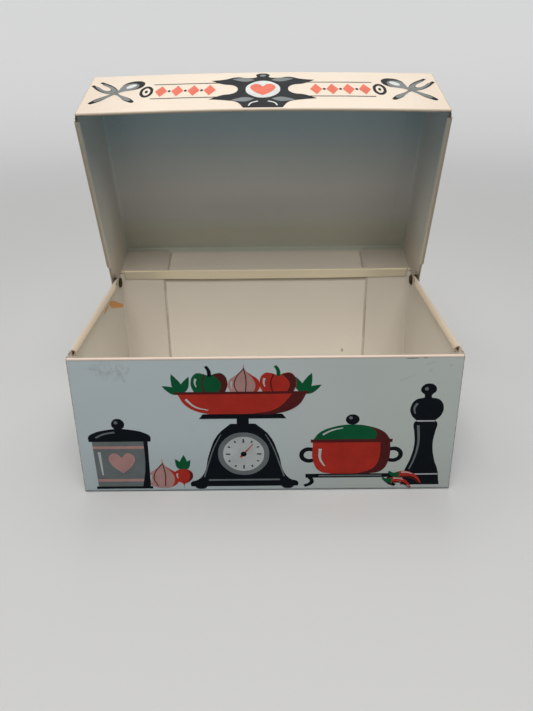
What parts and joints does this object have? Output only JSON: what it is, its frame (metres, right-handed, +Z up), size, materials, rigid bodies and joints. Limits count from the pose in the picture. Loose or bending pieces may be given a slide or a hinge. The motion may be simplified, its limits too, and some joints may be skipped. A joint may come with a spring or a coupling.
{
  "type": "recipe card box",
  "caption": "Folded tinplate box for upright index cards, with a deep overlapping lid that swings back on riveted side pivots and rests open on its rear rim.",
  "frame": {"origin": "middle of the base, on the surface that the box stands on", "axes": "+X to the box's right seen from the front, +Y to its back, +Z up; the lid is shown open, resting on its stop"},
  "size_m": [0.1474, 0.119, 0.1483],
  "materials": {
    "box_enamel": "semi-gloss printed enamel, worn",
    "lid_enamel": "semi-gloss printed enamel, worn",
    "pivot_steel": "dull, rusted"
  },
  "bodies": {
    "box": {"body_shell": "box_enamel", "body_side_left": "box_enamel", "body_side_right": "box_enamel", "pivot_rivet_left": "pivot_steel", "pivot_rivet_right": "pivot_steel", "pivot_washer_left": "pivot_steel", "pivot_washer_right": "pivot_steel"},
    "lid": {"lid_shell": "lid_enamel", "lid_side_left": "lid_enamel", "lid_side_right": "lid_enamel"}
  },
  "joints": [
    {"name": "lid_hinge", "type": "hinge", "parent": "box", "child": "lid", "pos_m": [0, 0.0403, 0.0544], "axis": [-1, 0, 0], "range_deg": [-71.5, 0]}
  ]
}
